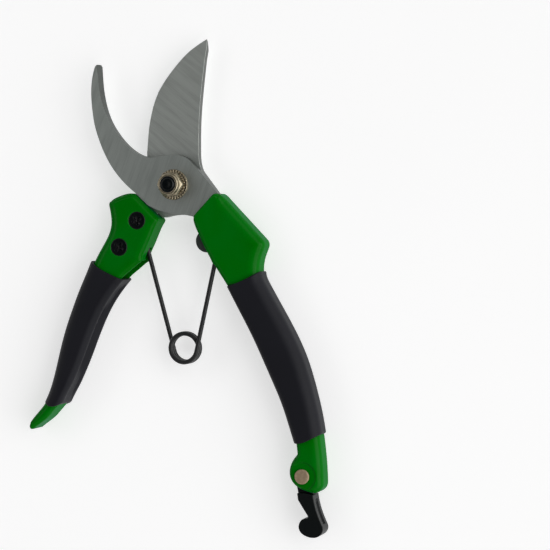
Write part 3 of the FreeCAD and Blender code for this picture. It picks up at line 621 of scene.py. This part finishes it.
# ---------------------------------------------------------------- spring
COIL = (4.0, -69.5)
COIL_R, WIRE_R = 6.1, 0.95
Z_L, Z_R = 5.22, 10.02
A_L, A_R, R_X = (-15.5, -22.5), (19.8, -31.0), (18.55, -32.2)


def tangent(c, r, p, side):
    d = math.dist(c, p)
    a = math.atan2(p[1] - c[1], p[0] - c[0]) + side * math.acos(r / d)
    return (c[0] + r * math.cos(a), c[1] + r * math.sin(a)), a


TL, aL = tangent(COIL, COIL_R, A_L, 1)
TR, aR = tangent(COIL, COIL_R, R_X, -1)
turn = 4 * math.pi + ((aR - aL) % (2 * math.pi))
line = []
for i in range(40):
    t = i / 40
    line.append((lerp(A_L[0], TL[0], t), lerp(A_L[1], TL[1], t), Z_L))
steps = 220
for i in range(steps + 1):
    t = i / steps
    zt = t + 0.0 * math.sin(2 * math.pi * t)
    e = 0.04
    if t < e:
        zt = t * t / (2 * e)
    elif t > 1 - e:
        zt = 1 - e - (1 - t) * (1 - t) / (2 * e)
    else:
        zt = t - e / 2
    zt /= (1 - e)
    a = aL + turn * t
    line.append((COIL[0] + COIL_R * math.cos(a), COIL[1] + COIL_R * math.sin(a), lerp(Z_L, Z_R, min(1.0, zt))))
for i in range(1, 37):
    t = i / 36
    line.append((lerp(TR[0], R_X[0], t), lerp(TR[1], R_X[1], t), Z_R))
for i in range(1, 6):
    t = i / 5
    line.append((lerp(R_X[0], A_R[0], t), lerp(R_X[1], A_R[1], t), Z_R))


def tube(name, pts, r, sides=20):
    P = [Vector(p) for p in pts]
    T = [(P[min(i + 1, len(P) - 1)] - P[max(i - 1, 0)]).normalized() for i in range(len(P))]
    nrm = T[0].orthogonal().normalized()
    rings = []

    def circle(p, t, n, rr):
        b = t.cross(n)
        return [tuple(p + n * (rr * math.cos(2 * math.pi * j / sides)) + b * (rr * math.sin(2 * math.pi * j / sides))) for j in range(sides)]
    for i, (p, t) in enumerate(zip(P, T)):
        nrm = (nrm - t * nrm.dot(t)).normalized()
        if i == 0:
            for k in (80, 60, 40, 20):
                a = math.radians(k)
                rings.append(circle(p - t * (r * 0.5 * math.sin(a)), t, nrm, r * math.cos(a)))
        rings.append(circle(p, t, nrm, r))
        if i == len(P) - 1:
            for k in (20, 40, 60, 80):
                a = math.radians(k)
                rings.append(circle(p + t * (r * 0.5 * math.sin(a)), t, nrm, r * math.cos(a)))
    return rings_to_mesh(name, rings)


spring = tube("torsion_spring", line, WIRE_R)
use(spring, SPRING)
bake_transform(spring)
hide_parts("spring_coil_and_right_leg", "spring_left_leg")


# ---------------------------------------------------------------- turned parts
def lathe(name, profile, centre=(0, 0), n=96, radius=None):
    """profile: (r, z) from one end on the axis to the other; radius(r, z, angle) may modulate."""
    rings = []
    for r, z in profile:
        ring = []
        for j in range(n):
            a = 2 * math.pi * j / n
            rr, zz = (r, z) if radius is None else radius(r, z, a)
            ring.append((centre[0] + rr * math.cos(a), centre[1] + rr * math.sin(a), zz))
        rings.append(ring)
    return rings_to_mesh(name, rings)


def hex_r(af, a, turn=0.0, soft=0.12):
    """Radius of a hexagon with slightly rounded corners."""
    k = (a - turn) % (math.pi / 3) - math.pi / 6
    flat = af / 2 / math.cos(k)
    top = af / 2 / math.cos(math.pi / 6)
    lim = top - soft
    return min(flat, lim + (flat - lim) * 0.25 if flat > lim else flat)


def fillet(cx, cz, r, a0, a1, n=6):
    return [(cx + r * math.cos(math.radians(lerp(a0, a1, i / n))), cz + r * math.sin(math.radians(lerp(a0, a1, i / n)))) for i in range(n + 1)]


# lock nut
AF, NZ0, NZ1, NTOP = 10.0, 12.2, 16.3, 18.2


def nut_shape(r, z, a):
    hr = hex_r(AF, a)
    if r >= 90:       # hexagon's side: 90 bottom chamfer, 91 side bottom, 92 side top
        flat = AF / 2 - 0.2
        if r == 90:
            return hr - 0.22, NZ0
        if r == 91:
            return hr, NZ0 + 0.2
        zc = NZ1 - (hr - flat) * 0.70
        if r == 92:
            return hr, zc - 0.08
        if r == 93:
            return hr - 0.06, zc
        return flat, NZ1
    return r, z


prof = [(3.02, NZ0), (90, 0), (91, 0), (92, 0), (93, 0), (94, 0), (4.72, NZ1 + 0.02), (4.66, NZ1 + 0.10), (4.65, NZ1 + 0.3)]
prof += [(x, z) for x, z in fillet(4.65 - 0.85, NTOP - 0.85, 0.85, 0, 90, 8)]
prof += [(3.52, NTOP - 0.03), (3.46, NTOP - 0.12), (3.45, NTOP - 0.6), (3.02, NTOP - 0.6)]
nut = lathe("lock_nut", prof + [(3.02, NZ0 + 0.05)], n=144, radius=nut_shape)
use(nut, ZINC)
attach(nut, "right_handle"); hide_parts("pivot_nut")

ins = lathe("nylon_ring", [(3.0, NTOP - 0.55), (3.44, NTOP - 0.55), (3.44, NTOP - 0.24), (3.36, NTOP - 0.14), (3.22, NTOP - 0.12), (3.08, NTOP - 0.16), (3.0, NTOP - 0.22)], n=72)
use(ins, NYLON)
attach(ins, "right_handle"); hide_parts("nut_nylon_insert")


# toothed lock washer
def washer_shape(r, z, a):
    k = (a * 30 / (2 * math.pi)) % 1.0
    tooth = smooth(k / 0.14) if k < 0.14 else 1.0 if k < 0.50 else 1 - smooth((k - 0.50) / 0.14) if k < 0.64 else 0.0
    if z > 11.7 and 4.95 < r < 6.2:
        return r, z - 0.66 * (1 - tooth) * smooth((r - 4.9) / 0.25)
    return r, z


wprof = [(3.06, 11.0), (6.2, 11.0), (6.42, 11.06), (6.5, 11.2), (6.5, 11.55), (6.46, 11.72), (6.36, 11.84), (6.24, 11.88), (6.16, 11.92),
         (6.0, 11.98), (5.7, 12.05), (5.4, 12.10), (5.15, 12.14), (5.0, 12.16), (4.9, 12.18), (4.5, 12.18), (3.06, 12.18)]
washer = lathe("toothed_washer", wprof, n=360, radius=washer_shape)
use(washer, ZINC)
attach(washer, "right_handle"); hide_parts("lock_washer")


# pivot bolt: hexagon head at the back, shoulder, threaded end
def bolt_shape(r, z, a):
    if r >= 90:
        hr = hex_r(13.0, a)
        zc = (hr - 6.35) * 0.62
        if r == 90:
            return 6.3, 0.0
        if r == 91:
            return hr - 0.05, max(0.04, zc)
        if r == 92:
            return hr, max(0.12, zc + 0.1)
        if r == 93:
            return hr, 2.45
        return hr - 0.15, 2.58
    if 11.4 < z < 18.45 and r < 3.2:
        ph = (z / 1.0 - a / (2 * math.pi)) % 1.0
        tri = abs(2 * ph - 1)
        return r - 0.34 * (1 - tri) * smooth((18.5 - z) / 0.3), z
    return r, z


bprof = [(0.02, 0.0), (90, 0), (91, 0), (92, 0), (93, 0), (94, 0), (4.0, 2.6), (4.0, 10.9), (2.98, 10.95)]
bprof += [(2.98, 11.0 + 7.1 * i / 72) for i in range(73)]
bprof += [(2.9, 18.25), (2.62, 18.5), (2.45, 18.58), (2.2, 18.6), (1.4, 18.6), (0.9, 18.5), (0.02, 18.42)]
bolt = lathe("shoulder_bolt", bprof, n=96, radius=bolt_shape)
use(bolt, BLACKOX)
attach(bolt, "right_handle"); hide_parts("pivot_bolt")

bw = lathe("plain_washer", [(4.06, 2.62)] + fillet(8.0 - 0.25, 2.62 + 0.25, 0.25, -90, 0, 4) + fillet(8.0 - 0.25, 4.22 - 0.25, 0.25, 0, 90, 4) + [(4.2, 4.22), (4.06, 4.1)], n=96)
use(bw, ZINC)
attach(bw, "right_handle"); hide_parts("back_washer")


# countersunk cross-recess screws
def cross_screw(name, node, body, turn):
    lo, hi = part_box(node)
    cx, cy = (lo.x + hi.x) / 2 / MM, (lo.y + hi.y) / 2 / MM
    z0, z1 = lo.z / MM, hi.z / MM
    up = 1 if z1 > 13 else -1
    top = z1 if up > 0 else z0
    tip = z0 if up > 0 else z1
    R = 3.98
    n = 120
    rs = [0.02] + [0.1 * i for i in range(1, 36)] + [3.6, 3.7, 3.8, 3.88, 3.94, 3.98]
    rings = []

    def height(x, y, r):
        a = math.radians(turn)
        p, q = abs(x * math.cos(a) + y * math.sin(a)), abs(-x * math.sin(a) + y * math.cos(a))
        depth = 0.0
        for along, across in ((p, q), (q, p)):
            dd = 1.55 - 0.42 * max(0.0, along - 0.7)
            edge = smooth((2.25 - along) / 0.28)
            half = 0.66 - 0.14 * along / 2.2
            wall = smooth((half - across) / 0.22 + 0.5)
            depth = max(depth, dd * edge * wall)
        heart = 1.7 * smooth((1.05 - r) / 0.6 + 0.2)
        depth = max(depth, min(1.7, heart) * smooth((1.25 - r) / 0.3))
        dome = 0.10 * (r / R) ** 2
        rimr = max(0.0, (r - 3.45) / 0.53)
        return depth + dome + 0.42 * rimr * rimr
    for r in reversed(rs):
        ring = []
        for j in range(n):
            a = 2 * math.pi * j / n
            x, y = r * math.cos(a), r * math.sin(a)
            ring.append((cx + x, cy + y, top - up * height(x, y, r)))
        rings.append(ring)
    rings = rings[::-1]
    for r, d in ((3.92, 0.66), (2.1, 2.15), (2.0, 2.4), (2.0, abs(top - tip) - 0.4), (1.7, abs(top - tip)), (0.02, abs(top - tip))):
        rings.append([(cx + r * math.cos(2 * math.pi * j / n), cy + r * math.sin(2 * math.pi * j / n), top - up * d) for j in range(n)])
    ob = rings_to_mesh(name, rings)
    use(ob, BLACKOX)
    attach(ob, body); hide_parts(node)
    return ob


cross_screw("screw_left_upper", "blade_screw_left_upper", "left_handle", 28)
cross_screw("screw_left_lower", "blade_screw_left_lower", "left_handle", 52)
cross_screw("screw_right_upper", "blade_screw_right_upper", "right_handle", 12)
cross_screw("screw_right_lower", "blade_screw_right_lower", "right_handle", 70)

# rivet: gently domed heads
PX, PY = 57.8, -121.9
rp = [(0.02, 0.72), (1.2, 0.74), (2.0, 0.86), (2.45, 1.08), (2.6, 1.38), (2.6, 1.5), (1.99, 1.5), (1.99, 12.9), (3.05, 12.9), (3.15, 12.98),
      (3.15, 13.3), (3.11, 13.44), (3.02, 13.56), (2.86, 13.66), (2.5, 13.73), (1.8, 13.77), (1.0, 13.79), (0.02, 13.79)]
rivet = lathe("rivet", rp, (PX, PY), 72)
use(rivet, COPPER)
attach(rivet, "right_handle"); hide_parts("latch_rivet")

# soft bumper
BC, BR = (14.7, -23.9), 4.88
bp = [(0.02, 3.54)] + fillet(BR - 0.9, 3.54 + 0.9, 0.9, -90, 0, 7) + fillet(BR - 0.9, 10.96 - 0.9, 0.9, 0, 90, 7) + [(0.02, 10.96)]
bumper = lathe("bumper_pad", bp, BC, 72)
use(bumper, RUBBER)
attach(bumper, "right_handle"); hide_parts("bumper")
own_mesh(bumper)

# ---------------------------------------------------------------- camera
C = Vector((0.291348, -0.017196, 0.768084))
right = Vector((0.95105652, 0, -0.30901699))
up = Vector((-0.00808912, 0.99965732, -0.02489576))
back = Vector((0.3089111, 0.02617695, 0.95073061))
cam_data = bpy.data.cameras.new("camera")
cam = bpy.data.objects.new("camera", cam_data)
COL.objects.link(cam)
cam.matrix_world = Matrix(((right.x, up.x, back.x, C.x), (right.y, up.y, back.y, C.y), (right.z, up.z, back.z, C.z), (0, 0, 0, 1)))
cam_data.sensor_width = 36.0
cam_data.lens = 1904.76 / 550.0 * 36.0
cam_data.clip_start, cam_data.clip_end = 0.01, 20.0
scene.camera = cam

# ---------------------------------------------------------------- stage
fl = mesh_obj("floor", [(-3000, -3000, -0.05), (3000, -3000, -0.05), (3000, 3000, -0.05), (-3000, 3000, -0.05)], [(0, 1, 2, 3)])
fm = Mat("floor_pale")
fm.set(Roughness=0.9)
fv = fm.mapping(scale=(1, 1, 1))
fm.to(fm.ramp(fm.noise(fv, 3.0), [(0.3, (0.62, 0.62, 0.62)), (0.7, (0.65, 0.65, 0.65))]), "Base Color")
fm.set(Emission_Color=(1.0, 1.0, 1.0, 1.0), Emission_Strength=0.55)
use(fl, fm.m)

world = bpy.data.worlds.new("world")
scene.world = world
world.use_nodes = True
wt = world.node_tree
bg = wt.nodes["Background"]
wco = wt.nodes.new("ShaderNodeTexCoord")
sep = wt.nodes.new("ShaderNodeSeparateXYZ")
wt.links.new(wco.outputs["Generated"], sep.inputs[0])
wr = wt.nodes.new("ShaderNodeValToRGB")
e = wr.color_ramp.elements
while len(e) < 8:
    e.new(0.5)
for el, (p, c) in zip(e, [(0.0, 0.20), (0.28, 0.20), (0.46, 0.44), (0.60, 0.66), (0.72, 0.90), (0.80, 0.58), (0.88, 0.10), (1.0, 0.06)]):
    el.position = p
    el.color = (c, c, c, 1)
wt.links.new(sep.outputs[2], wr.inputs[0])
# brighter on the side of the latch handle than on the other
wx = wt.nodes.new("ShaderNodeMapRange")
wx.inputs[1].default_value, wx.inputs[2].default_value = 0.15, 0.9
wx.inputs[3].default_value, wx.inputs[4].default_value = 0.22, 1.0
wt.links.new(sep.outputs[0], wx.inputs[0])
wm = wt.nodes.new("ShaderNodeMath")
wm.operation = "MULTIPLY"
wt.links.new(wr.outputs[0], wm.inputs[0])
wt.links.new(wx.outputs[0], wm.inputs[1])
wt.links.new(wm.outputs[0], bg.inputs[0])
bg.inputs[1].default_value = 3.3


def area(name, loc, target, size, power, color=(1, 1, 1)):
    ld = bpy.data.lights.new(name, "AREA")
    ld.shape = "RECTANGLE"
    ld.size, ld.size_y = size
    ld.energy = power
    ld.color = color
    lo = bpy.data.objects.new(name, ld)
    COL.objects.link(lo)
    lo.location = loc
    d = Vector(target) - Vector(loc)
    lo.rotation_mode = "QUATERNION"
    lo.rotation_quaternion = d.to_track_quat("-Z", "Y")
    return lo


area("right_low", (1.2, -0.05, 0.45), (0, -0.04, 0), (1.4, 0.5), 3.5)
area("left_low", (-1.1, 0.3, 0.9), (0, -0.04, 0), (1.2, 0.5), 1.1)
scene.view_settings.view_transform = "Standard"
scene.view_settings.look = "None"
scene.view_settings.exposure = 0.0
scene.view_settings.gamma = 1.0
